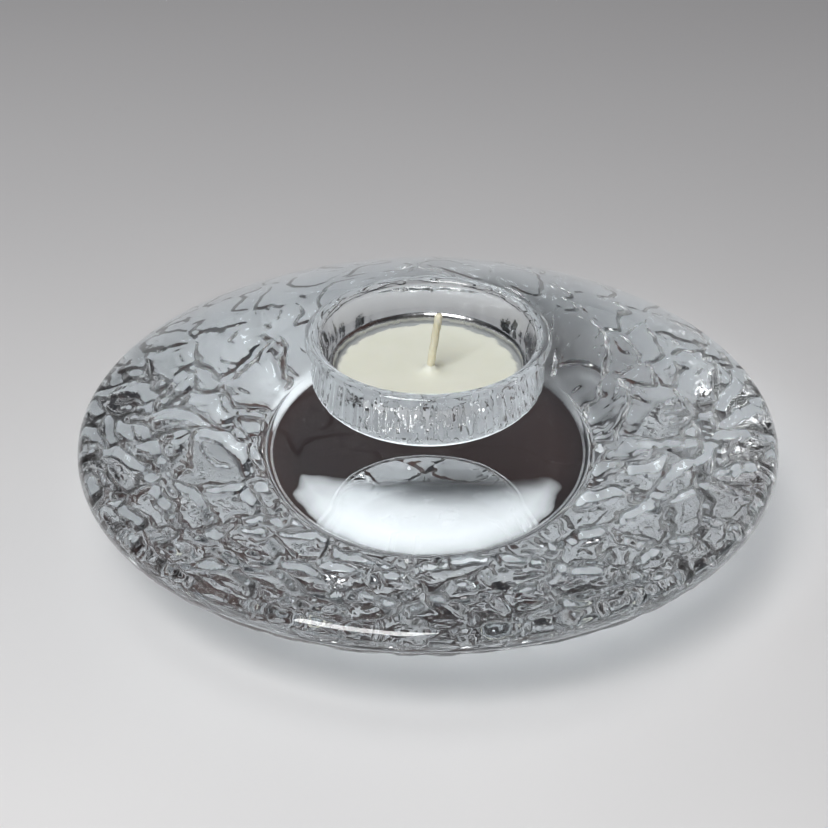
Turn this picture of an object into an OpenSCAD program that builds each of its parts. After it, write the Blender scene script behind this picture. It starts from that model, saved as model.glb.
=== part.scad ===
// Tealight holder: a thick pressed-glass disc with a well for one tealight.
// Units are millimetres, +Z is up, and the origin is the middle of the foot, on the table.

/* [Glass disc] */
// Diameter over the rim
disc_d = 135; // [125:1:145]
// Height of the lip round the well, above the table
holder_h = 42; // [40.5:0.5:44]
// Height of the middle of the rim above the table
rim_z = 19; // [17:0.5:20]
// Thickness of the rounded rim
rim_t = 6.6; // [5:0.2:7.6]
// Steepness of the domed top where it meets the rim, in degrees
dome_slope = 31.5; // [29:0.5:33]
// Steepness of the underside where it meets the rim, in degrees
under_slope = 28; // [26:0.5:32]

/* [Foot] */
// Diameter of the foot, where the relief of the underside begins
foot_d = 53.2; // [48:0.4:58]
// Radius of the foot's rounded outer edge
foot_edge = 1.5; // [0.8:0.1:2]
// Diameter of the shallow hollow in the foot
punt_d = 49.4; // [40:0.2:49.6]
// Height of the hollow at its middle
punt_h = 1.9; // [1:0.1:3]

/* [Well] */
// Thickness of the lip, a rounded bead round the mouth
lip_t = 3; // [2.4:0.1:3.4]
// Rise of the lip over the edge of the domed top
lip_rise = 0.85; // [0.5:0.05:1]
// Diameter of the well at its mouth
mouth_d = 41; // [40.4:0.2:42]
// Diameter of the well at its floor
well_d = 39.2; // [38.8:0.1:40]
// Depth of the well, from the lip to its floor
well_depth = 19.5; // [18.5:0.5:20.5]
// Radius between the wall and the floor of the well
well_fillet = 2.4; // [1.5:0.1:3]

/* [Tealight] */
// Diameter of the aluminium cup at its rim
cup_d = 37.4; // [36:0.1:38]
// Diameter of the cup's floor
cup_floor_d = 34.4; // [33:0.1:35]
// Height of the cup
cup_h = 13.4; // [12:0.1:15]
// Thickness of the cup's sheet
cup_t = 0.25; // [0.2:0.01:0.4]
// Depth of the wax below the cup's rim
wax_gap = 1.8; // [0.8:0.1:2.6]
// Depth of the dish in the wax towards the wick
wax_dish = 0.4; // [0.2:0.1:1]

/* [Wick] */
// Diameter of the waxed cotton wick
wick_d = 1.6; // [1.2:0.1:2]
// Length of wick that stands out of the wax
wick_free = 12.2; // [6:0.2:15]
// Lean of the free end of the wick, in degrees
wick_lean = 8; // [0:1:20]
// Place of the wick on the cup's floor, left to right
wick_x = 0.4; // [-1:0.1:1]
// Place of the wick on the cup's floor, front to back
wick_y = -0.1; // [-1:0.1:1]
// Diameter of the steel base that holds the wick
clip_d = 12.6; // [10:0.1:14]
// Height of the base's neck
clip_h = 3; // [2:0.1:4]

/* [Hidden] */
$fn = 120;

eps = 0.01;
disc_r = disc_d / 2;
rim_r = rim_t / 2;
rim_x = disc_r - rim_r;
foot_r = foot_d / 2;
lip_round = lip_t / 2;
lip_start = 30;
lip_gap = 0.1;
lip_r = mouth_d / 2 + lip_t + lip_gap;
foot_edge_end = -32;
well_z = holder_h - well_depth;
cup_round = 1.2;
cup_flare = 8;
curl_r = 0.35;
clip_t = 0.3;
clip_wall = 0.25;
fit_gap = 0.03;
wax_top = cup_h - wax_gap;
wax_fillet = 1;
dish_reach = 0.9;
wick_stub = 0.6;
wick_bend = wax_top - wax_dish + wick_stub;
wick_fit = 0.02;
knuckle = 1.06;

// Points on an arc about [x, z], from angle a to angle b
function arc(x, z, r, a, b, n = 8) =
    [for (i = [0 : n]) let (t = a + (b - a) * i / n) [x + r * cos(t), z + r * sin(t)]];

// Points on a shallow arc that leaves p at a slope and ends at q, further in
function bow(p, q, slope, up, n = 16) =
    let (
        chord = norm(q - p),
        lean = atan2(abs(q.y - p.y), abs(p.x - q.x)),
        half = slope - lean,
        r = chord / 2 / sin(half),
        c = [p.x - r * sin(slope), p.y - up * r * cos(slope)]
    )
    [for (i = [0 : n]) let (t = slope - 2 * half * i / n) [c.x + r * sin(t), c.y + up * r * cos(t)]];

// The hollow of the foot, from the axis out to its edge
function punt(n = 12) =
    [for (i = [0 : n]) let (x = punt_d / 2 * i / n) [x, punt_h * (1 - pow(2 * x / punt_d, 2))]];

// Half section of the glass, anticlockwise from the middle of the foot
function glass_section() =
    let (
        foot_end = arc(foot_r - foot_edge, foot_edge, foot_edge, -90, foot_edge_end),
        low = [rim_x + rim_r * sin(under_slope), rim_z - rim_r * cos(under_slope)],
        high = [rim_x + rim_r * sin(dome_slope), rim_z + rim_r * cos(dome_slope)],
        under = bow(low, foot_end[len(foot_end) - 1], under_slope, -1),
        dome = bow(high, [lip_r, holder_h - lip_rise], dome_slope, 1)
    )
    concat(
        punt(),
        foot_end,
        [for (i = [len(under) - 2 : -1 : 1]) under[i]],
        arc(rim_x, rim_z, rim_r, under_slope - 90, 90 - dome_slope, 14),
        [for (i = [1 : len(dome) - 1]) dome[i]],
        arc(mouth_d / 2 + lip_round, holder_h - lip_round, lip_round, lip_start, 180, 12),
        arc(well_d / 2 - well_fillet, well_z + well_fillet, well_fillet, 0, -90, 6),
        [[0, well_z]]
    );

// Half section of the cup's sheet, from the middle of its floor
function cup_section() =
    let (r0 = cup_floor_d / 2, r1 = cup_d / 2 - curl_r)
    concat(
        [[0, 0]],
        arc(r0 - cup_round, cup_round, cup_round, -90, -cup_flare, 6),
        arc(r1, cup_h - curl_r, curl_r, -90, 90, 8),
        [[r1 - cup_t, cup_h]],
        arc(r0 - cup_round, cup_round, cup_round - cup_t, -cup_flare, -90, 6),
        [[0, cup_t]]
    );

module glass_holder() {
    color("#cfd8dc", 0.55)
        rotate_extrude($fn = 180) polygon(glass_section());
}

module tealight_cup() {
    color("#c9ccd0")
        translate([0, 0, well_z])
            rotate_extrude() polygon(cup_section());
}

// Radius of the inside of the cup at a height above its floor
function cup_inner(z) =
    let (
        r0 = cup_floor_d / 2 - cup_round + (cup_round - cup_t) * cos(cup_flare),
        r1 = cup_d / 2 - curl_r - cup_t,
        z0 = cup_round - (cup_round - cup_t) * sin(cup_flare)
    )
    r0 + (r1 - r0) * (z - z0) / (cup_h - z0);

// The wax is cast in the cup, dished towards the wick and cut out round the wick and its base
module wax() {
    low = cup_t + wax_fillet;
    color("#e9e8dc")
        translate([0, 0, well_z])
            difference() {
                rotate_extrude() polygon(concat(
                    [[0, cup_t], [cup_floor_d / 2 - 2 * wax_fillet, cup_t]],
                    [[cup_inner(low) - 3 * fit_gap, low]],
                    [[cup_inner(wax_top) - fit_gap, wax_top]],
                    [for (i = [10 : -1 : 0])
                        let (x = cup_d / 2 * dish_reach * i / 10)
                        [x, wax_top - wax_dish * (1 - pow(i / 10, 2))]]
                ));
                translate([wick_x, wick_y, 0]) {
                    clip_outline(fit_gap);
                    cylinder(d = wick_d + 2 * wick_fit, h = cup_h);
                }
            }
}

// The outline of the wick's base, grown all round by a fit
module clip_outline(fit) {
    translate([0, 0, cup_t - eps])
        cylinder(d = clip_d + 2 * fit, h = clip_t + fit + eps);
    translate([0, 0, cup_t])
        cylinder(d = wick_d + 2 * (clip_wall + fit), h = clip_h + fit);
}

module wick_sustainer() {
    color("#b8b9b4")
        translate([wick_x, wick_y, well_z])
            difference() {
                union() {
                    translate([0, 0, cup_t])
                        cylinder(d = clip_d, h = clip_t);
                    translate([0, 0, cup_t])
                        cylinder(d = wick_d + 2 * clip_wall, h = clip_h);
                }
                translate([0, 0, cup_t + clip_t])
                    cylinder(d = wick_d, h = clip_h);
            }
}

// The wick stands straight in the wax and leans where it comes out
module wick() {
    color("#e6dfc4")
        translate([wick_x, wick_y, well_z]) {
            translate([0, 0, cup_t + clip_t])
                cylinder(d = wick_d, h = wick_bend - cup_t - clip_t);
            translate([0, 0, wick_bend]) {
                sphere(d = wick_d * knuckle);
                rotate([0, wick_lean, 0])
                    cylinder(d = wick_d, h = wick_free);
            }
        }
}

glass_holder();
tealight_cup();
wax();
wick();
wick_sustainer();
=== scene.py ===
import math

import bpy
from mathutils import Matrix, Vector


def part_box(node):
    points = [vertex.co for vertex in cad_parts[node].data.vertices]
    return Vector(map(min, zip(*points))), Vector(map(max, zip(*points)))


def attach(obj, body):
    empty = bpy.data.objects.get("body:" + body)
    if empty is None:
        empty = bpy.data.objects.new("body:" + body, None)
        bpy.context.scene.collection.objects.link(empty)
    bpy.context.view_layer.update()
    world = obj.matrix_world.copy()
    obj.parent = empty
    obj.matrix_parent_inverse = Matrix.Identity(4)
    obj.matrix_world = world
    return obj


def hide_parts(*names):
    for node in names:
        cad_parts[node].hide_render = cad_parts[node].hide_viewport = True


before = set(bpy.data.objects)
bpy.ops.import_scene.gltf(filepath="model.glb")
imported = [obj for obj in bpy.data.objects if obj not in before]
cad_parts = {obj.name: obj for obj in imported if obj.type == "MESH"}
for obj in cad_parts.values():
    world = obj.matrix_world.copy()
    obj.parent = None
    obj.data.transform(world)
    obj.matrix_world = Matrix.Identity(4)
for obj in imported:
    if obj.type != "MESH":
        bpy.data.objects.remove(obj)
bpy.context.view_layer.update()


# The glass holder: one gather of clear soda-lime glass, pressed in a two-part mould and fire polished.
# The plunger leaves the smooth dome and the well, and the cut steel of the lower mould leaves a crackle
# of pillows and furrows on the underside, all but the foot, which is ground to a shallow hollow.
MM = 0.001
glass_low, glass_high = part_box("glass_holder")
holder_h = glass_high.z / MM
disc_r = round((glass_high.x - glass_low.x) / 2 / MM, 1)
rim_z = 19
rim_r = 3.3
dome_slope = math.radians(31.5)
under_slope = math.radians(28)
foot_r = 26.6
foot_edge = 1.5
foot_edge_end = -32
punt_r = 24.7
punt_h = 1.9
punt_rings = 6
mouth_r = 20.5
lip_round = 1.5
lip_gap = 0.1
lip_r = mouth_r + 2 * lip_round + lip_gap
lip_rise = 0.85
lip_start = 30
well_r = 19.6
well_depth = 19.5
well_z = holder_h - well_depth
well_fillet = 2.4
glass_steps = 690
under_rings = 84
dome_rings = 12
weld = 0.01


def arc(x, z, radius, start, end, count):
    """Points on an arc about (x, z), with its angles in degrees."""
    turns = [math.radians(start + (end - start) * i / count) for i in range(count + 1)]
    return [(x + radius * math.cos(t), z + radius * math.sin(t)) for t in turns]


def bow(start, end, slope, up, count):
    """Points on a shallow arc that leaves start at a slope and ends further in, at end."""
    chord = math.hypot(end[0] - start[0], end[1] - start[1])
    half = slope - math.atan2(abs(end[1] - start[1]), start[0] - end[0])
    radius = chord / 2 / math.sin(half)
    x = start[0] - radius * math.sin(slope)
    z = start[1] - up * radius * math.cos(slope)
    turns = [slope - 2 * half * i / count for i in range(count + 1)]
    return [(x + radius * math.sin(t), z + up * radius * math.cos(t)) for t in turns]


def lathe(name, section, steps):
    """Draws a section by extruding one vertex from point to point, and turns it round the Z axis."""
    bpy.ops.object.select_all(action="DESELECT")
    bpy.ops.mesh.primitive_plane_add(size=MM)
    piece = bpy.context.object
    piece.name = name
    bpy.ops.object.mode_set(mode="EDIT")
    bpy.ops.mesh.merge(type="CENTER")
    here = (0, 0)
    for number, (x, z) in enumerate(section):
        step = ((x - here[0]) * MM, 0, (z - here[1]) * MM)
        if number == 0:
            bpy.ops.transform.translate(value=step)
        else:
            bpy.ops.mesh.extrude_region_move(TRANSFORM_OT_translate={"value": step})
        here = (x, z)
    bpy.ops.object.mode_set(mode="OBJECT")
    turned = piece.modifiers.new("turned", "SCREW")
    turned.steps = turned.render_steps = steps
    turned.use_merge_vertices = True
    turned.merge_threshold = weld * MM
    bpy.ops.object.modifier_apply(modifier=turned.name)
    bpy.ops.object.mode_set(mode="EDIT")
    bpy.ops.mesh.select_all(action="SELECT")
    bpy.ops.mesh.remove_doubles(threshold=weld * MM)
    bpy.ops.mesh.normals_make_consistent(inside=False)
    bpy.ops.object.mode_set(mode="OBJECT")
    bpy.ops.object.shade_smooth()
    return piece


punt_steps = [i / punt_rings for i in range(punt_rings + 1)]
punt = [(punt_r * step, punt_h * (1 - step ** 2)) for step in punt_steps]
foot_side = arc(foot_r - foot_edge, foot_edge, foot_edge, -90, foot_edge_end, 5)
rim_x = disc_r - rim_r
rim_start = math.degrees(under_slope) - 90
rim_end = 90 - math.degrees(dome_slope)
rim_low = (rim_x + rim_r * math.sin(under_slope), rim_z - rim_r * math.cos(under_slope))
rim_high = (rim_x + rim_r * math.sin(dome_slope), rim_z + rim_r * math.cos(dome_slope))
underside = bow(rim_low, foot_side[-1], under_slope, -1, under_rings)
rim = arc(rim_x, rim_z, rim_r, rim_start, rim_end, 14)
dome = bow(rim_high, (lip_r, holder_h - lip_rise), dome_slope, 1, dome_rings)
lip = arc(mouth_r + lip_round, holder_h - lip_round, lip_round, lip_start, 180, 9)
wall = [(well_r, well_z + up) for up in (14, 11.5, 9, 6.5, 4)]
corner = arc(well_r - well_fillet, well_z + well_fillet, well_fillet, 0, -90, 5)
section = punt + foot_side + underside[-2:0:-1] + rim + dome[1:] + lip + wall + corner + [(0, well_z)]
glass = lathe("glass_body", section, glass_steps)


def linear(code):
    """Turns an sRGB hex colour into the linear values that a shader takes."""
    parts = [int(code[i:i + 2], 16) / 255 for i in (1, 3, 5)]
    return [p / 12.92 if p <= 0.04045 else ((p + 0.055) / 1.055) ** 2.4 for p in parts] + [1]


def add(tree, kind, settings=None, **links):
    """Adds one node to a tree, with its settings and its inputs: a socket to link or a value to set."""
    node = tree.nodes.new(kind)
    for key, value in (settings or {}).items():
        setattr(node, key, value)
    for key, value in links.items():
        numbered = key[0] == "i" and key[1:].isdigit()
        socket = node.inputs[int(key[1:]) if numbered else key.replace("_", " ")]
        if isinstance(value, bpy.types.NodeSocket):
            tree.links.new(value, socket)
        else:
            socket.default_value = value
    return node


# Relief of the lower mould: pillows about 10 mm across, with flat-bottomed furrows between them that
# wander and fade, and small cuts in some of the pillows. Widths and depths are in mm.
pillow = 10.5
furrow_flat = 0.35
furrow_half = 1.3
furrow_d = 1.25
crown = 2.6
crown_d = 0.18
cut = 4.2
cut_half = 0.75
cut_d = 0.22
warps = ((19.0, 13.0), (6.0, 3.0), (2.4, 0.5))
fade_patch = 6.5
cut_patch = 5.0
relief_start = foot_side[-1][0] + 0.2
relief_full = relief_start + 1.2
relief_fade = rim_z - 4.4
relief_end = rim_z - 1.0

tree = bpy.data.node_groups.new("mould_relief", "GeometryNodeTree")
tree.interface.new_socket("Geometry", in_out="INPUT", socket_type="NodeSocketGeometry")
tree.interface.new_socket("Geometry", in_out="OUTPUT", socket_type="NodeSocketGeometry")
mesh_in = tree.nodes.new("NodeGroupInput")
mesh_out = tree.nodes.new("NodeGroupOutput")
place = add(tree, "GeometryNodeInputPosition").outputs[0]
in_mm = add(tree, "ShaderNodeVectorMath", {"operation": "SCALE"}, Vector=place, Scale=1 / MM).outputs[0]
flat_xy = add(tree, "ShaderNodeVectorMath", {"operation": "MULTIPLY"}, i0=in_mm, i1=(1, 1, 0)).outputs[0]
bent = flat_xy
for wave, reach in warps:
    drift = add(tree, "ShaderNodeTexNoise", Vector=flat_xy, Scale=1 / wave, Detail=1.0).outputs["Color"]
    drift = add(tree, "ShaderNodeVectorMath", {"operation": "SUBTRACT"}, i0=drift,
                i1=(0.5, 0.5, 0.5)).outputs[0]
    drift = add(tree, "ShaderNodeVectorMath", {"operation": "SCALE"}, Vector=drift, Scale=reach).outputs[0]
    bent = add(tree, "ShaderNodeVectorMath", {"operation": "ADD"}, i0=bent, i1=drift).outputs[0]
cells = add(tree, "ShaderNodeTexVoronoi", {"feature": "DISTANCE_TO_EDGE"}, Vector=bent, Scale=1 / pillow)
edge = cells.outputs["Distance"]
furrow = add(tree, "ShaderNodeMapRange", {"interpolation_type": "SMOOTHSTEP"}, Value=edge,
             From_Min=furrow_flat / pillow, From_Max=furrow_half / pillow,
             To_Min=furrow_d, To_Max=0.0).outputs[0]
fade = add(tree, "ShaderNodeTexNoise", Vector=flat_xy, Scale=1 / fade_patch, Detail=1.0).outputs["Fac"]
fade = add(tree, "ShaderNodeMapRange", Value=fade, From_Min=0.36, From_Max=0.56, To_Min=0.25).outputs[0]
furrow = add(tree, "ShaderNodeMath", {"operation": "MULTIPLY"}, i0=furrow, i1=fade).outputs[0]
swell = add(tree, "ShaderNodeMapRange", {"interpolation_type": "SMOOTHSTEP"}, Value=edge,
            From_Max=crown / pillow, To_Min=crown_d, To_Max=0.0).outputs[0]
cuts = add(tree, "ShaderNodeTexVoronoi", {"feature": "DISTANCE_TO_EDGE"}, Vector=bent, Scale=1 / cut)
cuts = add(tree, "ShaderNodeMapRange", {"interpolation_type": "SMOOTHSTEP"},
           Value=cuts.outputs["Distance"], From_Max=cut_half / cut, To_Min=cut_d, To_Max=0.0).outputs[0]
some = add(tree, "ShaderNodeTexNoise", Vector=flat_xy, Scale=1 / cut_patch, Detail=0.0).outputs["Fac"]
some = add(tree, "ShaderNodeMapRange", Value=some, From_Min=0.46, From_Max=0.56).outputs[0]
cuts = add(tree, "ShaderNodeMath", {"operation": "MULTIPLY"}, i0=cuts, i1=some).outputs[0]
depth = add(tree, "ShaderNodeMath", {"operation": "ADD"}, i0=furrow, i1=swell).outputs[0]
depth = add(tree, "ShaderNodeMath", {"operation": "ADD"}, i0=depth, i1=cuts).outputs[0]

# The relief runs from the edge of the foot to the middle of the rim, and leaves all else smooth
reach = add(tree, "ShaderNodeVectorMath", {"operation": "LENGTH"}, i0=flat_xy).outputs["Value"]
inner = add(tree, "ShaderNodeMapRange", {"interpolation_type": "SMOOTHSTEP"}, Value=reach,
            From_Min=relief_start, From_Max=relief_full).outputs[0]
height = add(tree, "ShaderNodeSeparateXYZ", Vector=in_mm).outputs["Z"]
outer = add(tree, "ShaderNodeMapRange", {"interpolation_type": "SMOOTHSTEP"}, Value=height,
            From_Min=relief_fade, From_Max=relief_end, To_Min=1.0, To_Max=0.0).outputs[0]
side = add(tree, "GeometryNodeInputNormal").outputs[0]
down = add(tree, "ShaderNodeSeparateXYZ", Vector=side).outputs["Z"]
down = add(tree, "ShaderNodeMath", {"operation": "LESS_THAN"}, i0=down, i1=0.3).outputs[0]
far = add(tree, "ShaderNodeMath", {"operation": "GREATER_THAN"}, i0=reach, i1=foot_r - 1).outputs[0]
mask = add(tree, "ShaderNodeMath", {"operation": "MULTIPLY"}, i0=inner, i1=outer).outputs[0]
mask = add(tree, "ShaderNodeMath", {"operation": "MULTIPLY"}, i0=mask, i1=down).outputs[0]
mask = add(tree, "ShaderNodeMath", {"operation": "MULTIPLY"}, i0=mask, i1=far).outputs[0]
depth = add(tree, "ShaderNodeMath", {"operation": "MULTIPLY"}, i0=depth, i1=mask).outputs[0]

# The plunger is dressed up and down, and leaves shallow flutes about 2 mm wide in the wall of the well
flute = 1.5
flute_d = 0.3
flute_fade = well_z + 11
flute_end = well_z + 14
upright = add(tree, "ShaderNodeVectorMath", {"operation": "MULTIPLY"}, i0=in_mm, i1=(1, 1, 0.1)).outputs[0]
wave = add(tree, "ShaderNodeTexNoise", Vector=upright, Scale=1 / flute, Detail=1.0).outputs["Fac"]
wave = add(tree, "ShaderNodeMapRange", Value=wave, From_Min=0.3, From_Max=0.7, To_Max=flute_d).outputs[0]
above = add(tree, "ShaderNodeMapRange", {"interpolation_type": "SMOOTHSTEP"}, Value=height,
            From_Min=well_z + 1.0, From_Max=well_z + well_fillet).outputs[0]
below = add(tree, "ShaderNodeMapRange", {"interpolation_type": "SMOOTHSTEP"}, Value=height,
            From_Min=flute_fade, From_Max=flute_end, To_Min=1.0, To_Max=0.0).outputs[0]
walled = add(tree, "ShaderNodeMath", {"operation": "LESS_THAN"}, i0=reach, i1=well_r + 0.1).outputs[0]
wave = add(tree, "ShaderNodeMath", {"operation": "MULTIPLY"}, i0=wave, i1=above).outputs[0]
wave = add(tree, "ShaderNodeMath", {"operation": "MULTIPLY"}, i0=wave, i1=below).outputs[0]
wave = add(tree, "ShaderNodeMath", {"operation": "MULTIPLY"}, i0=wave, i1=walled).outputs[0]
depth = add(tree, "ShaderNodeMath", {"operation": "ADD"}, i0=depth, i1=wave).outputs[0]
pressed = add(tree, "ShaderNodeMath", {"operation": "MULTIPLY"}, i0=above, i1=walled).outputs[0]
pressed = add(tree, "ShaderNodeMath", {"operation": "MAXIMUM"}, i0=pressed, i1=mask).outputs[0]
lift = add(tree, "ShaderNodeMath", {"operation": "MULTIPLY"}, i0=depth, i1=-MM).outputs[0]
lift = add(tree, "ShaderNodeVectorMath", {"operation": "SCALE"}, Vector=side, Scale=lift).outputs[0]
marked = add(tree, "GeometryNodeStoreNamedAttribute", {"data_type": "FLOAT", "domain": "POINT"},
             Geometry=mesh_in.outputs[0], Name="pressed", Value=pressed)
moved = add(tree, "GeometryNodeSetPosition", Geometry=marked.outputs[0], Offset=lift)
tree.links.new(moved.outputs[0], mesh_out.inputs[0])
relief = glass.modifiers.new("mould_relief", "NODES")
relief.node_group = tree
bpy.context.view_layer.objects.active = glass
bpy.ops.object.modifier_apply(modifier=relief.name)


def material(name, **values):
    """Makes a material on one Principled shader, with the values that are the same all over."""
    made = bpy.data.materials.new(name)
    made.use_nodes = True
    shader = made.node_tree.nodes["Principled BSDF"]
    for key, value in values.items():
        shader.inputs[key.replace("_", " ")].default_value = value
    return made, made.node_tree, shader


# Clear soda-lime glass, pressed and fire polished: colourless and sharp in reflection. The polished
# faces keep a faint waviness 7 mm long. The moulded faces have a grain about 1.3 mm across, and are
# tinted a little greyer: painted shade for the light that the relief scatters away.
ripple = 0.007
mould_grain = 0.0013
clear_glass, tree, shader = material(
    "clear_pressed_glass", Roughness=0.0, IOR=1.52, Transmission_Weight=1.0)
spot = add(tree, "ShaderNodeTexCoord").outputs["Object"]
moulded = add(tree, "ShaderNodeAttribute", {"attribute_name": "pressed"}).outputs["Fac"]
# The greyer tint on the moulded faces is painted shade, not a colour of the glass itself
glass_tint_and_painted_shade = add(tree, "ShaderNodeMix", {"data_type": "RGBA"}, i0=moulded,
           i6=linear("#f6fafc"), i7=linear("#e0e4e6"))
tree.links.new(glass_tint_and_painted_shade.outputs[2], shader.inputs["Base Color"])
wavy = add(tree, "ShaderNodeTexNoise", Vector=spot, Scale=1 / ripple, Detail=1.0).outputs["Fac"]
grain = add(tree, "ShaderNodeTexNoise", Vector=spot, Scale=1 / mould_grain, Detail=2.0).outputs["Fac"]
grain = add(tree, "ShaderNodeMath", {"operation": "MULTIPLY"}, i0=grain, i1=moulded).outputs[0]
smooth = add(tree, "ShaderNodeBump", Height=wavy, Strength=0.5, Distance=0.04 * MM)
rough = add(tree, "ShaderNodeBump", Height=grain, Strength=0.3, Distance=0.08 * MM,
            Normal=smooth.outputs[0])
tree.links.new(rough.outputs[0], shader.inputs["Normal"])

# Light from the lamps goes on through the glass to the table, less what its two faces take from it
to_lamp = add(tree, "ShaderNodeLightPath").outputs["Is Shadow Ray"]
passed = add(tree, "ShaderNodeMix", {"data_type": "RGBA"}, i0=moulded,
             i6=linear("#f6f8f9"), i7=linear("#585c5f"))
lit_through = add(tree, "ShaderNodeBsdfTransparent", Color=passed.outputs[2]).outputs[0]
both = add(tree, "ShaderNodeMixShader", i0=to_lamp, i1=shader.outputs[0], i2=lit_through).outputs[0]
tree.links.new(both, tree.nodes["Material Output"].inputs["Surface"])
glass.data.materials.append(clear_glass)
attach(glass, "holder")
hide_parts("glass_holder")


# The tealight's cup: thin aluminium sheet, drawn in one stroke, with its edge curled outwards. The
# wall is left faintly fluted by the drawing, and the sheet is bright with fine lines up the wall.
cup_low, cup_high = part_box("tealight_cup")
cup_z = cup_low.z / MM
cup_h = (cup_high.z - cup_low.z) / MM
cup_r = (cup_high.x - cup_low.x) / 2 / MM
floor_r = 17.2
sheet = 0.25
curl = 0.35
cup_round = 1.2
cup_flare = 8
cup_steps = 420
outside = arc(floor_r - cup_round, cup_round, cup_round, -90, -cup_flare, 6)
edge = arc(cup_r - curl, cup_h - curl, curl, -90, 90, 8)
inside = arc(floor_r - cup_round, cup_round, cup_round - sheet, -cup_flare, -90, 6)


def split(start, end, count):
    """Points between two others, without either end."""
    return [tuple(a + (b - a) * i / count for a, b in zip(start, end)) for i in range(1, count)]


hem = (cup_r - curl - sheet, cup_h)
cup_section = [(0, 0)] + outside + split(outside[-1], edge[0], 9) + edge + [hem]
cup_section += split(hem, inside[0], 9) + inside + [(0, sheet)]
cup = lathe("tealight_cup_body", [(x, z + cup_z) for x, z in cup_section], cup_steps)

draw_flute = 1.7
draw_d = 0.5
draw_fade = cup_z + cup_h - 2.2
draw_end = cup_z + cup_h - 0.9
tree = bpy.data.node_groups.new("drawn_flutes", "GeometryNodeTree")
tree.interface.new_socket("Geometry", in_out="INPUT", socket_type="NodeSocketGeometry")
tree.interface.new_socket("Geometry", in_out="OUTPUT", socket_type="NodeSocketGeometry")
mesh_in = tree.nodes.new("NodeGroupInput")
mesh_out = tree.nodes.new("NodeGroupOutput")
place = add(tree, "GeometryNodeInputPosition").outputs[0]
in_mm = add(tree, "ShaderNodeVectorMath", {"operation": "SCALE"}, Vector=place, Scale=1 / MM).outputs[0]
drawn_up = add(tree, "ShaderNodeVectorMath", {"operation": "MULTIPLY"}, i0=in_mm, i1=(1, 1, 0.16)).outputs[0]
wave = add(tree, "ShaderNodeTexNoise", Vector=drawn_up, Scale=1 / draw_flute, Detail=1.0).outputs["Fac"]
wave = add(tree, "ShaderNodeMath", {"operation": "SUBTRACT"}, i0=wave, i1=0.5).outputs[0]
height = add(tree, "ShaderNodeSeparateXYZ", Vector=in_mm).outputs["Z"]
foot_fade = add(tree, "ShaderNodeMapRange", {"interpolation_type": "SMOOTHSTEP"}, Value=height,
                From_Min=cup_z + cup_round * 0.7, From_Max=cup_z + cup_round * 2).outputs[0]
curl_fade = add(tree, "ShaderNodeMapRange", {"interpolation_type": "SMOOTHSTEP"}, Value=height,
                From_Min=draw_fade, From_Max=draw_end, To_Min=1.0, To_Max=0.0).outputs[0]
wave = add(tree, "ShaderNodeMath", {"operation": "MULTIPLY"}, i0=wave, i1=foot_fade).outputs[0]
wave = add(tree, "ShaderNodeMath", {"operation": "MULTIPLY"}, i0=wave, i1=curl_fade).outputs[0]
wave = add(tree, "ShaderNodeMath", {"operation": "MULTIPLY"}, i0=wave, i1=2 * draw_d * MM).outputs[0]
flat_xy = add(tree, "ShaderNodeVectorMath", {"operation": "MULTIPLY"}, i0=place, i1=(1, 1, 0)).outputs[0]
outward = add(tree, "ShaderNodeVectorMath", {"operation": "NORMALIZE"}, i0=flat_xy).outputs[0]
shift = add(tree, "ShaderNodeVectorMath", {"operation": "SCALE"}, Vector=outward, Scale=wave).outputs[0]
moved = add(tree, "GeometryNodeSetPosition", Geometry=mesh_in.outputs[0], Offset=shift)
tree.links.new(moved.outputs[0], mesh_out.inputs[0])
flutes = cup.modifiers.new("drawn_flutes", "NODES")
flutes.node_group = tree
bpy.context.view_layer.objects.active = cup
bpy.ops.object.modifier_apply(modifier=flutes.name)

# Bright rolled aluminium: a soft mirror with a faint grey bloom, and draw lines 0.4 mm apart
draw_line = 0.0004
bloom_patch = 0.004
aluminium, tree, shader = material("drawn_aluminium", Metallic=1.0)
spot = add(tree, "ShaderNodeTexCoord").outputs["Object"]
drawn = add(tree, "ShaderNodeMapping", Vector=spot, Scale=(1, 1, 0.06)).outputs[0]
lines = add(tree, "ShaderNodeTexNoise", Vector=drawn, Scale=1 / draw_line, Detail=2.0).outputs["Fac"]
bloom = add(tree, "ShaderNodeTexNoise", Vector=spot, Scale=1 / bloom_patch, Detail=3.0).outputs["Fac"]
tone = add(tree, "ShaderNodeMix", {"data_type": "RGBA"}, i0=bloom,
           i6=linear("#a9aaac"), i7=linear("#d6d7d8"))
gloss = add(tree, "ShaderNodeMapRange", Value=bloom, From_Min=0.3, From_Max=0.7, To_Min=0.16, To_Max=0.3)
fine = add(tree, "ShaderNodeBump", Height=lines, Strength=0.35, Distance=0.03 * MM)
tree.links.new(tone.outputs[2], shader.inputs["Base Color"])
tree.links.new(gloss.outputs[0], shader.inputs["Roughness"])
tree.links.new(fine.outputs[0], shader.inputs["Normal"])
cup.data.materials.append(aluminium)
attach(cup, "tealight")
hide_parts("tealight_cup")


# The wick: cotton yarns plied into a cord and dipped in wax. It stands straight in the steel base and
# leans to one side above the wax, where it was trimmed.
wick_low, wick_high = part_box("wick")
wick_r = 0.8
knuckle = 1.06
wick_x = wick_low.x / MM + wick_r * knuckle
wick_y = (wick_low.y + wick_high.y) / 2 / MM
wick_foot = wick_low.z / MM
wick_lean = math.radians(8)
wick_top = wick_high.z / MM - wick_r * math.sin(wick_lean)
wax_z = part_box("wax")[1].z / MM
wax_dish = 0.4
wick_stub = 0.6
wick_bend = wax_z - wax_dish + wick_stub
wick_sides = 24
yarns = 3
yarn_gap = -0.6
yarn_pinch = 0.9
cut_end = 0.8
ply_turn = math.radians(15)
wick_steps = 44

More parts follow.
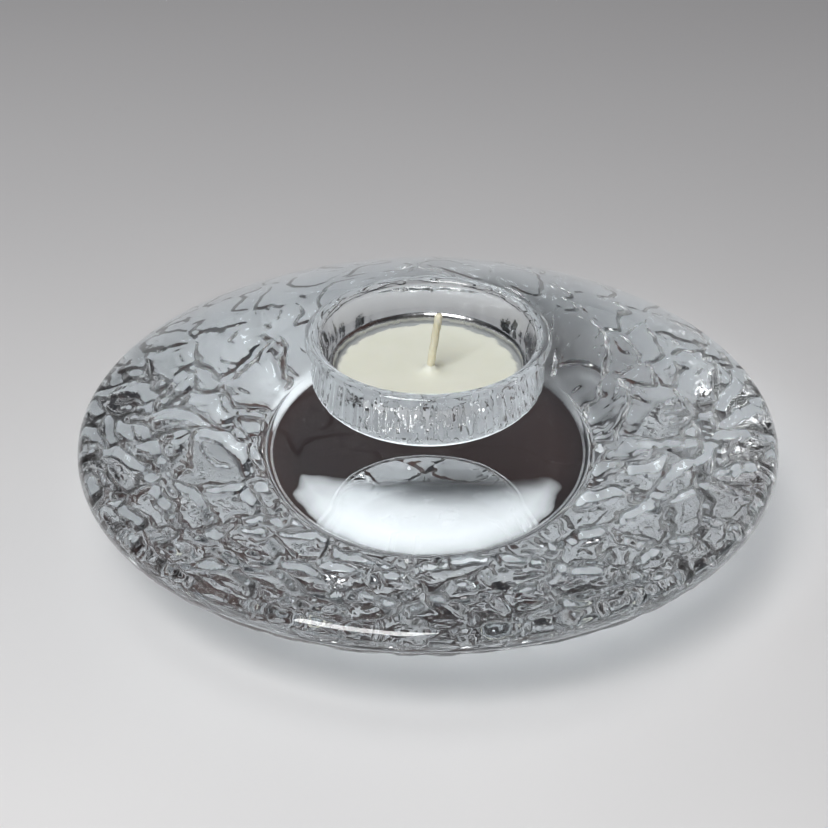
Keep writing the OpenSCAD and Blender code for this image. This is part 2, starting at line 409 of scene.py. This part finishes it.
bpy.ops.object.select_all(action="DESELECT")
bpy.ops.mesh.primitive_circle_add(vertices=wick_sides, radius=wick_r * MM,
                                  location=(wick_x * MM, wick_y * MM, wick_foot * MM))
wick = bpy.context.object
wick.name = "wick_cord"
bpy.ops.object.transform_apply(location=True, rotation=False, scale=False)
bpy.ops.object.mode_set(mode="EDIT")
bpy.ops.mesh.select_mode(type="VERT")
bpy.ops.mesh.select_all(action="DESELECT")
bpy.ops.object.mode_set(mode="OBJECT")
for point in wick.data.vertices:
    turn = math.atan2(point.co.y - wick_y * MM, point.co.x - wick_x * MM) * yarns
    point.select = math.cos(turn) < yarn_gap
bpy.ops.object.mode_set(mode="EDIT")
bpy.ops.transform.resize(value=(yarn_pinch, yarn_pinch, 1),
                         center_override=(wick_x * MM, wick_y * MM, wick_foot * MM))
bpy.ops.mesh.select_all(action="SELECT")
bpy.ops.mesh.edge_face_add()
rise = (wick_top - wick_foot) / wick_steps
here = Vector((wick_x, wick_y, wick_foot))
for number in range(wick_steps):
    lean = wick_lean if here.z >= wick_bend else 0
    step = Vector((rise * math.tan(lean), 0, rise))
    here += step
    bpy.ops.mesh.extrude_region_move(TRANSFORM_OT_translate={"value": step * MM})
    bpy.ops.transform.rotate(value=ply_turn, orient_axis="Z", center_override=here * MM)
bpy.ops.transform.resize(value=(cut_end, cut_end, 1), center_override=here * MM)
bpy.ops.mesh.select_all(action="SELECT")
bpy.ops.mesh.normals_make_consistent(inside=False)
bpy.ops.object.mode_set(mode="OBJECT")
soft = wick.modifiers.new("soft", "SUBSURF")
soft.levels = soft.render_levels = 1
bpy.ops.object.modifier_apply(modifier=soft.name)
bpy.ops.object.shade_smooth()

# Cotton yarn soaked in paraffin: cream, half translucent, with fibres 0.12 mm thick that lie round it
fibre_pair = 0.00024
stain_patch = 0.0016
cotton, tree, shader = material(
    "waxed_cotton", IOR=1.44, Subsurface_Weight=0.35, Subsurface_Scale=0.002,
    Subsurface_Radius=(1.0, 0.8, 0.5))
spot = add(tree, "ShaderNodeTexCoord").outputs["Object"]
laid = add(tree, "ShaderNodeMapping", Vector=spot, Rotation=(0.5, 0.3, 0), Scale=(1, 1, 0.25)).outputs[0]
fibre = add(tree, "ShaderNodeTexNoise", Vector=laid, Scale=1 / fibre_pair, Detail=3.0).outputs["Fac"]
stain = add(tree, "ShaderNodeTexNoise", Vector=spot, Scale=1 / stain_patch, Detail=2.0).outputs["Fac"]
tone = add(tree, "ShaderNodeMix", {"data_type": "RGBA"}, i0=stain,
           i6=linear("#ddd4b4"), i7=linear("#f6f1de"))
gloss = add(tree, "ShaderNodeMapRange", Value=fibre, From_Min=0.3, From_Max=0.7, To_Min=0.38, To_Max=0.7)
woolly = add(tree, "ShaderNodeBump", Height=fibre, Strength=0.6, Distance=0.08 * MM)
tree.links.new(tone.outputs[2], shader.inputs["Base Color"])
tree.links.new(gloss.outputs[0], shader.inputs["Roughness"])
tree.links.new(woolly.outputs[0], shader.inputs["Normal"])
wick.data.materials.append(cotton)
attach(wick, "tealight")
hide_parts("wick")


# The wax: paraffin poured into the cup. It shrank into a shallow dish as it set, climbs the wick in
# a small cone, and thins round the wall to a clear skin with a ragged edge.
wax_top = wax_z - cup_z
skin_r = 17.0
skin_step = 0.22
cone_h = 1.7
cone_r = 0.85
brim = 17.9
ragged_step = 3.6
ragged_reach = 2.6
skin_edge = 0.25
uneven_wave = 9.0
uneven_h = 0.3
wax_rings = 46
wax_steps = 220
dish_steps = [i / wax_rings for i in range(wax_rings, -1, -1)]
dish = [(brim * step, wax_top - wax_dish * (1 - step ** 2)) for step in dish_steps]
wax_section = [(0, sheet), (15.9, sheet), (16.9, 1.3)] + dish
wax = lathe("wax_body", [(x, z + cup_z) for x, z in wax_section], wax_steps)

tree = bpy.data.node_groups.new("set_surface", "GeometryNodeTree")
tree.interface.new_socket("Geometry", in_out="INPUT", socket_type="NodeSocketGeometry")
tree.interface.new_socket("Geometry", in_out="OUTPUT", socket_type="NodeSocketGeometry")
mesh_in = tree.nodes.new("NodeGroupInput")
mesh_out = tree.nodes.new("NodeGroupOutput")
place = add(tree, "GeometryNodeInputPosition").outputs[0]
in_mm = add(tree, "ShaderNodeVectorMath", {"operation": "SCALE"}, Vector=place, Scale=1 / MM).outputs[0]
flat_xy = add(tree, "ShaderNodeVectorMath", {"operation": "MULTIPLY"}, i0=in_mm, i1=(1, 1, 0)).outputs[0]
reach = add(tree, "ShaderNodeVectorMath", {"operation": "LENGTH"}, i0=flat_xy).outputs["Value"]
ragged = add(tree, "ShaderNodeTexNoise", Vector=flat_xy, Scale=1 / ragged_step, Detail=3.0).outputs["Fac"]
ragged = add(tree, "ShaderNodeMath", {"operation": "MULTIPLY_ADD"}, i0=ragged, i1=ragged_reach,
             i2=skin_r - ragged_reach / 2).outputs[0]
past = add(tree, "ShaderNodeMath", {"operation": "SUBTRACT"}, i0=reach, i1=ragged).outputs[0]
skin = add(tree, "ShaderNodeMapRange", {"interpolation_type": "SMOOTHSTEP"}, Value=past,
           From_Min=-skin_edge, From_Max=skin_edge).outputs[0]
height = add(tree, "ShaderNodeSeparateXYZ", Vector=in_mm).outputs["Z"]
on_top = add(tree, "ShaderNodeMath", {"operation": "GREATER_THAN"}, i0=height, i1=wax_z - 1.2).outputs[0]
inner = add(tree, "ShaderNodeMath", {"operation": "LESS_THAN"}, i0=reach, i1=brim - 0.1).outputs[0]
drop = add(tree, "ShaderNodeMath", {"operation": "MULTIPLY"}, i0=skin, i1=-skin_step).outputs[0]
uneven = add(tree, "ShaderNodeTexNoise", Vector=flat_xy, Scale=1 / uneven_wave, Detail=1.0).outputs["Fac"]
uneven = add(tree, "ShaderNodeMath", {"operation": "MULTIPLY_ADD"}, i0=uneven, i1=uneven_h,
             i2=-uneven_h / 2).outputs[0]
from_wick = add(tree, "ShaderNodeVectorMath", {"operation": "DISTANCE"}, i0=flat_xy,
                i1=(wick_x, wick_y, 0)).outputs["Value"]
cone = add(tree, "ShaderNodeMath", {"operation": "MULTIPLY"}, i0=from_wick, i1=-1 / cone_r).outputs[0]
cone = add(tree, "ShaderNodeMath", {"operation": "EXPONENT"}, i0=cone).outputs[0]
cone = add(tree, "ShaderNodeMath", {"operation": "MULTIPLY"}, i0=cone, i1=cone_h * math.e * 0.8).outputs[0]
cone = add(tree, "ShaderNodeMath", {"operation": "MINIMUM"}, i0=cone, i1=cone_h).outputs[0]
lift = add(tree, "ShaderNodeMath", {"operation": "ADD"}, i0=drop, i1=uneven).outputs[0]
lift = add(tree, "ShaderNodeMath", {"operation": "ADD"}, i0=lift, i1=cone).outputs[0]
lift = add(tree, "ShaderNodeMath", {"operation": "MULTIPLY"}, i0=lift, i1=on_top).outputs[0]
lift = add(tree, "ShaderNodeMath", {"operation": "MULTIPLY"}, i0=lift, i1=inner).outputs[0]
lift = add(tree, "ShaderNodeMath", {"operation": "MULTIPLY"}, i0=lift, i1=MM).outputs[0]
lift = add(tree, "ShaderNodeCombineXYZ", Z=lift).outputs[0]
marked = add(tree, "GeometryNodeStoreNamedAttribute", {"data_type": "FLOAT", "domain": "POINT"},
             Geometry=mesh_in.outputs[0], Name="skin", Value=skin)
moved = add(tree, "GeometryNodeSetPosition", Geometry=marked.outputs[0], Offset=lift)
tree.links.new(moved.outputs[0], mesh_out.inputs[0])
set_surface = wax.modifiers.new("set_surface", "NODES")
set_surface.node_group = tree
bpy.context.view_layer.objects.active = wax
bpy.ops.object.modifier_apply(modifier=set_surface.name)

# Undyed paraffin: ivory and cloudy, soft in its light, grey and clearer where it is only a skin. Its
# clouds are 6 mm across, and the fine mottle left by the cooling 0.6 mm.
cloud_patch = 0.006
mottle_grain = 0.0006
paraffin, tree, shader = material(
    "paraffin_wax", IOR=1.44, Subsurface_Weight=0.4, Subsurface_Scale=0.004,
    Subsurface_Radius=(1.0, 0.9, 0.7))
spot = add(tree, "ShaderNodeTexCoord").outputs["Object"]
cloud = add(tree, "ShaderNodeTexNoise", Vector=spot, Scale=1 / cloud_patch, Detail=4.0).outputs["Fac"]
speck = add(tree, "ShaderNodeTexNoise", Vector=spot, Scale=1 / mottle_grain, Detail=3.0).outputs["Fac"]
thin = add(tree, "ShaderNodeAttribute", {"attribute_name": "skin"}).outputs["Fac"]
tone = add(tree, "ShaderNodeMix", {"data_type": "RGBA"}, i0=cloud,
           i6=linear("#e4e6d5"), i7=linear("#eff0e4"))
tone = add(tree, "ShaderNodeMix", {"data_type": "RGBA"}, i0=thin, i6=tone.outputs[2], i7=linear("#a9acab"))
gloss = add(tree, "ShaderNodeMapRange", Value=cloud, From_Min=0.3, From_Max=0.7, To_Min=0.34, To_Max=0.5)
mottle = add(tree, "ShaderNodeBump", Height=speck, Strength=0.3, Distance=0.04 * MM)
tree.links.new(tone.outputs[2], shader.inputs["Base Color"])
tree.links.new(gloss.outputs[0], shader.inputs["Roughness"])
tree.links.new(mottle.outputs[0], shader.inputs["Normal"])
wax.data.materials.append(paraffin)
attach(wax, "tealight")
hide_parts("wax")


# The wick's base: a disc of tinned steel with a pierced neck that is squeezed on the wick.
base_low, base_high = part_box("wick_sustainer")
base_z = base_low.z / MM
base_r = (base_high.x - base_low.x) / 2 / MM
base_h = (base_high.z - base_low.z) / MM
tin_t = 0.3
bore_r = 0.82
neck_r = 1.2
neck_fillet = 0.6
worn = 0.1
base_steps = 96
base_section = [(bore_r, 0), (base_r - worn, 0)]
base_section += arc(base_r - tin_t / 2, tin_t / 2, tin_t / 2, -90, 90, 4)
base_section += arc(neck_r + neck_fillet, tin_t + neck_fillet, neck_fillet, 270, 180, 5)
base_section += [(neck_r, base_h - worn), (neck_r - worn, base_h), (bore_r, base_h), (bore_r, 0)]
base = lathe("wick_base", base_section, base_steps)
bpy.ops.object.mode_set(mode="EDIT")
bpy.ops.mesh.select_all(action="SELECT")
bpy.ops.transform.translate(value=(wick_x * MM, wick_y * MM, base_z * MM))
bpy.ops.object.mode_set(mode="OBJECT")

# Tinplate: steel with a bright tin coat, streaked by rolling and spangled about 1 mm across
streak_w = 0.0003
spangle_w = 0.001
tinplate, tree, shader = material("rolled_tinplate", Metallic=1.0)
spot = add(tree, "ShaderNodeTexCoord").outputs["Object"]
rolled = add(tree, "ShaderNodeMapping", Vector=spot, Scale=(0.05, 1, 1)).outputs[0]
streak = add(tree, "ShaderNodeTexNoise", Vector=rolled, Scale=1 / streak_w, Detail=2.0).outputs["Fac"]
spangle = add(tree, "ShaderNodeTexVoronoi", Vector=spot, Scale=1 / spangle_w).outputs["Color"]
tone = add(tree, "ShaderNodeMix", {"data_type": "RGBA"}, i0=spangle,
           i6=linear("#b4b4b0"), i7=linear("#d2d2cd"))
gloss = add(tree, "ShaderNodeMapRange", Value=streak, From_Min=0.3, From_Max=0.7, To_Min=0.22, To_Max=0.42)
fine = add(tree, "ShaderNodeBump", Height=streak, Strength=0.3, Distance=0.02 * MM)
tree.links.new(tone.outputs[2], shader.inputs["Base Color"])
tree.links.new(gloss.outputs[0], shader.inputs["Roughness"])
tree.links.new(fine.outputs[0], shader.inputs["Normal"])
base.data.materials.append(tinplate)
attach(base, "tealight")
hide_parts("wick_sustainer")


# The table: a plain pale board with soft cloudy patches 90 mm across, and painted shade that greys it
# towards the back, where less light falls.
table_side = 6
patch = 0.09
painted_shade_start = -0.15
painted_shade_end = 0.4
bpy.ops.object.select_all(action="DESELECT")
bpy.ops.mesh.primitive_plane_add(size=table_side)
table = bpy.context.object
table.name = "table"
pale_table, tree, shader = material("pale_table", Roughness=0.75)
spot = add(tree, "ShaderNodeTexCoord").outputs["Object"]
soft = add(tree, "ShaderNodeTexNoise", Vector=spot, Scale=1 / patch, Detail=1.0).outputs["Fac"]
# Painted shade: the board's colour is greyed towards the back, for light that falls off away from the window
painted_back_shade = add(tree, "ShaderNodeSeparateXYZ", Vector=spot).outputs["Y"]
painted_back_shade = add(tree, "ShaderNodeMapRange", {"interpolation_type": "SMOOTHSTEP"}, Value=painted_back_shade,
           From_Min=painted_shade_start, From_Max=painted_shade_end).outputs[0]
tone = add(tree, "ShaderNodeMix", {"data_type": "RGBA"}, i0=soft,
           i6=linear("#e4e4e5"), i7=linear("#f0f0f0"))
tone = add(tree, "ShaderNodeMix", {"data_type": "RGBA"}, i0=painted_back_shade,
           i6=tone.outputs[2], i7=linear("#bebec0"))
tree.links.new(tone.outputs[2], shader.inputs["Base Color"])
table.data.materials.append(pale_table)


# The lights: a window at the front left, and a weaker ceiling light that the glass doesn't mirror
def softbox(name, place, width, height, power, mirrored):
    """A soft area light that faces the holder, and shows in the glass only if it is mirrored."""
    data = bpy.data.lights.new(name, "AREA")
    data.shape = "RECTANGLE"
    data.size = width
    data.size_y = height
    data.energy = power
    lamp = bpy.data.objects.new(name, data)
    bpy.context.scene.collection.objects.link(lamp)
    lamp.location = place
    lamp.visible_glossy = lamp.visible_transmission = mirrored
    lamp.rotation_euler = (Vector((0, 0, 0.02)) - Vector(place)).to_track_quat("-Z", "Y").to_euler()


softbox("window", (-0.2, -0.43, 0.66), 0.42, 0.3, 5.2, mirrored=True)
softbox("ceiling", (-0.12, 0.0, 0.85), 0.4, 0.4, 1.0, mirrored=False)

# The room: dark all round, warmer at the right, with a lighter skyline just above the table
right_start = -0.2
right_end = 0.5
front_start = 0.15
front_end = -0.6
skyline_top = 0.3
skyline_low = 0.18
ceiling_low = 0.84
ceiling_top = 0.95
room = bpy.data.worlds.new("room")
room.use_nodes = True
bpy.context.scene.world = room
tree = room.node_tree
way = add(tree, "ShaderNodeTexCoord").outputs["Generated"]
way = add(tree, "ShaderNodeSeparateXYZ", Vector=way)
to_right = add(tree, "ShaderNodeMapRange", Value=way.outputs["X"],
               From_Min=right_start, From_Max=right_end).outputs[0]
to_front = add(tree, "ShaderNodeMapRange", {"interpolation_type": "SMOOTHSTEP"}, Value=way.outputs["Y"],
               From_Min=front_start, From_Max=front_end).outputs[0]
skyline = add(tree, "ShaderNodeMapRange", {"interpolation_type": "SMOOTHSTEP"}, Value=way.outputs["Z"],
              From_Min=skyline_top, From_Max=skyline_low).outputs[0]
ceiling = add(tree, "ShaderNodeMapRange", {"interpolation_type": "SMOOTHSTEP"}, Value=way.outputs["Z"],
              From_Min=ceiling_low, From_Max=ceiling_top).outputs[0]
shade = add(tree, "ShaderNodeMix", {"data_type": "RGBA"}, i0=to_right,
            i6=linear("#242528"), i7=linear("#5a4743"))
shade = add(tree, "ShaderNodeMix", {"data_type": "RGBA"}, i0=to_front,
            i6=shade.outputs[2], i7=linear("#2c2d30"))
shade = add(tree, "ShaderNodeMix", {"data_type": "RGBA"}, i0=skyline,
            i6=shade.outputs[2], i7=linear("#58595c"))
shade = add(tree, "ShaderNodeMix", {"data_type": "RGBA"}, i0=ceiling,
            i6=shade.outputs[2], i7=linear("#242528"))
tree.links.new(shade.outputs[2], tree.nodes["Background"].inputs["Color"])
tree.nodes["Background"].inputs["Strength"].default_value = 1.0

# Camera at the side of the table, looking down on the holder
distance = 0.5
elevation = math.radians(33)
middle = Vector((0, 0, rim_z * MM))
aim = Vector((-0.0027, 0.0022, 0.0225))
data = bpy.data.cameras.new("camera")
camera = bpy.data.objects.new("camera", data)
bpy.context.scene.collection.objects.link(camera)
camera.location = middle + distance * Vector((0, -math.cos(elevation), math.sin(elevation)))
camera.rotation_euler = (aim - camera.location).to_track_quat("-Z", "Y").to_euler()
data.lens = 112.2
data.sensor_width = 36
data.clip_start = 0.01
bpy.context.scene.camera = camera
bpy.context.scene.view_settings.view_transform = "Standard"
